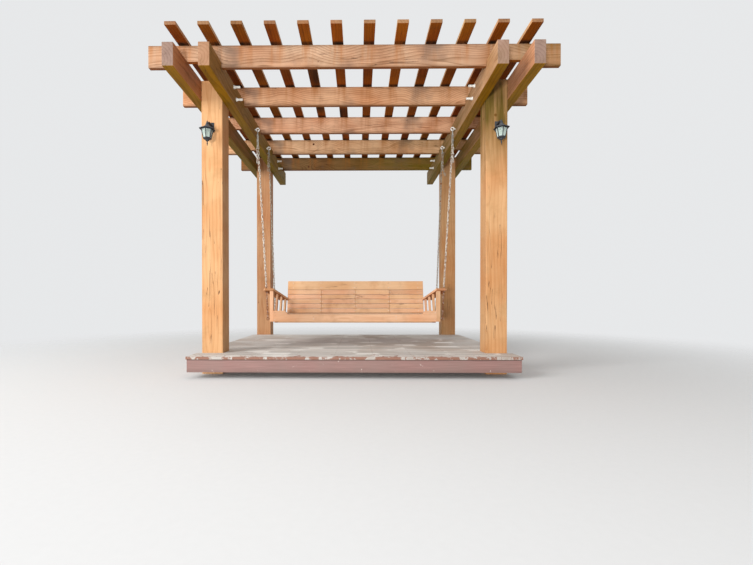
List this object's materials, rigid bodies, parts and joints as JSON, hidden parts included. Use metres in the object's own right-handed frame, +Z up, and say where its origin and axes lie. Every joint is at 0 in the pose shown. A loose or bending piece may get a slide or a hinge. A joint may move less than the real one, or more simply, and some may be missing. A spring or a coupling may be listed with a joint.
{
  "type": "pergola with swing bench",
  "caption": "Open timber pergola over a low deck, with a slatted bench swing hung on chains from the roof carriers and a lantern on each front post.",
  "frame": {"origin": "ground level, below the middle of the roof's outline", "axes": "+Z up, +X to the right seen from the front, +Y to the rear; the entrance side faces -Y"},
  "size_m": [3.41, 3.4, 2.807],
  "materials": {
    "post_timber": "stained sawn softwood",
    "roof_timber": "stained sawn softwood, redder and a little weathered",
    "bench_timber": "stained planed softwood",
    "deck_timber": "weathered grey deck paint, worn through in patches",
    "fascia_timber": "faded brown deck stain",
    "black_metal": "satin black powder coat",
    "lantern_glass": "lightly seeded, a little dusty",
    "zinc_steel": "galvanised, dulled by weather"
  },
  "bodies": {
    "pergola": {"front_left_post": "post_timber", "front_right_post": "post_timber", "rear_left_post": "post_timber", "rear_right_post": "post_timber", "left_outer_carrier": "roof_timber", "left_inner_carrier": "roof_timber", "right_inner_carrier": "roof_timber", "right_outer_carrier": "roof_timber", "cross_beam_1": "roof_timber", "cross_beam_2": "roof_timber", "cross_beam_3": "roof_timber", "cross_beam_4": "roof_timber", "cross_beam_5": "roof_timber", "rafters": "roof_timber", "deck_boards": "deck_timber", "deck_front_fascia": "fascia_timber", "deck_rear_fascia": "fascia_timber", "deck_side_fascias": "fascia_timber", "deck_joists": "fascia_timber", "deck_bearers": "fascia_timber", "left_lantern": "black_metal", "right_lantern": "black_metal", "lantern_glass": "lantern_glass", "roof_eye_bolts": "zinc_steel"},
    "front_chain_pair": {"front_chains": "zinc_steel"},
    "rear_chain_pair": {"rear_chains": "zinc_steel"},
    "bench": {"bench_front_rail": "bench_timber", "bench_side_rails": "bench_timber", "bench_front_beam": "bench_timber", "bench_joists": "bench_timber", "bench_rear_beam": "bench_timber", "bench_seat_slats": "bench_timber", "bench_back_supports": "bench_timber", "bench_back_slats": "bench_timber", "bench_left_arm": "bench_timber", "bench_right_arm": "bench_timber", "bench_left_uprights": "bench_timber", "bench_right_uprights": "bench_timber", "bench_arm_chains": "zinc_steel", "bench_eye_bolts": "zinc_steel"}
  },
  "joints": [
    {"name": "front_chain_swing", "type": "hinge", "parent": "pergola", "child": "front_chain_pair", "pos_m": [0, -0.265, 2.523], "axis": [1, 0, 0], "range_deg": [-15, 15]},
    {"name": "bench_on_front_chains", "type": "hinge", "parent": "front_chain_pair", "child": "bench", "pos_m": [0, -0.265, 0.81], "axis": [1, 0, 0], "range_deg": [-15, 15]},
    {"name": "rear_chain_swing", "type": "hinge", "parent": "pergola", "child": "rear_chain_pair", "pos_m": [0, 0.315, 2.523], "axis": [1, 0, 0], "range_deg": [-13, 13]}
  ],
  "couplings": [
    {"joint": "bench_on_front_chains", "follows": "front_chain_swing", "ratio": -1},
    {"joint": "rear_chain_swing", "follows": "front_chain_swing", "ratio": 0.8374}
  ]
}
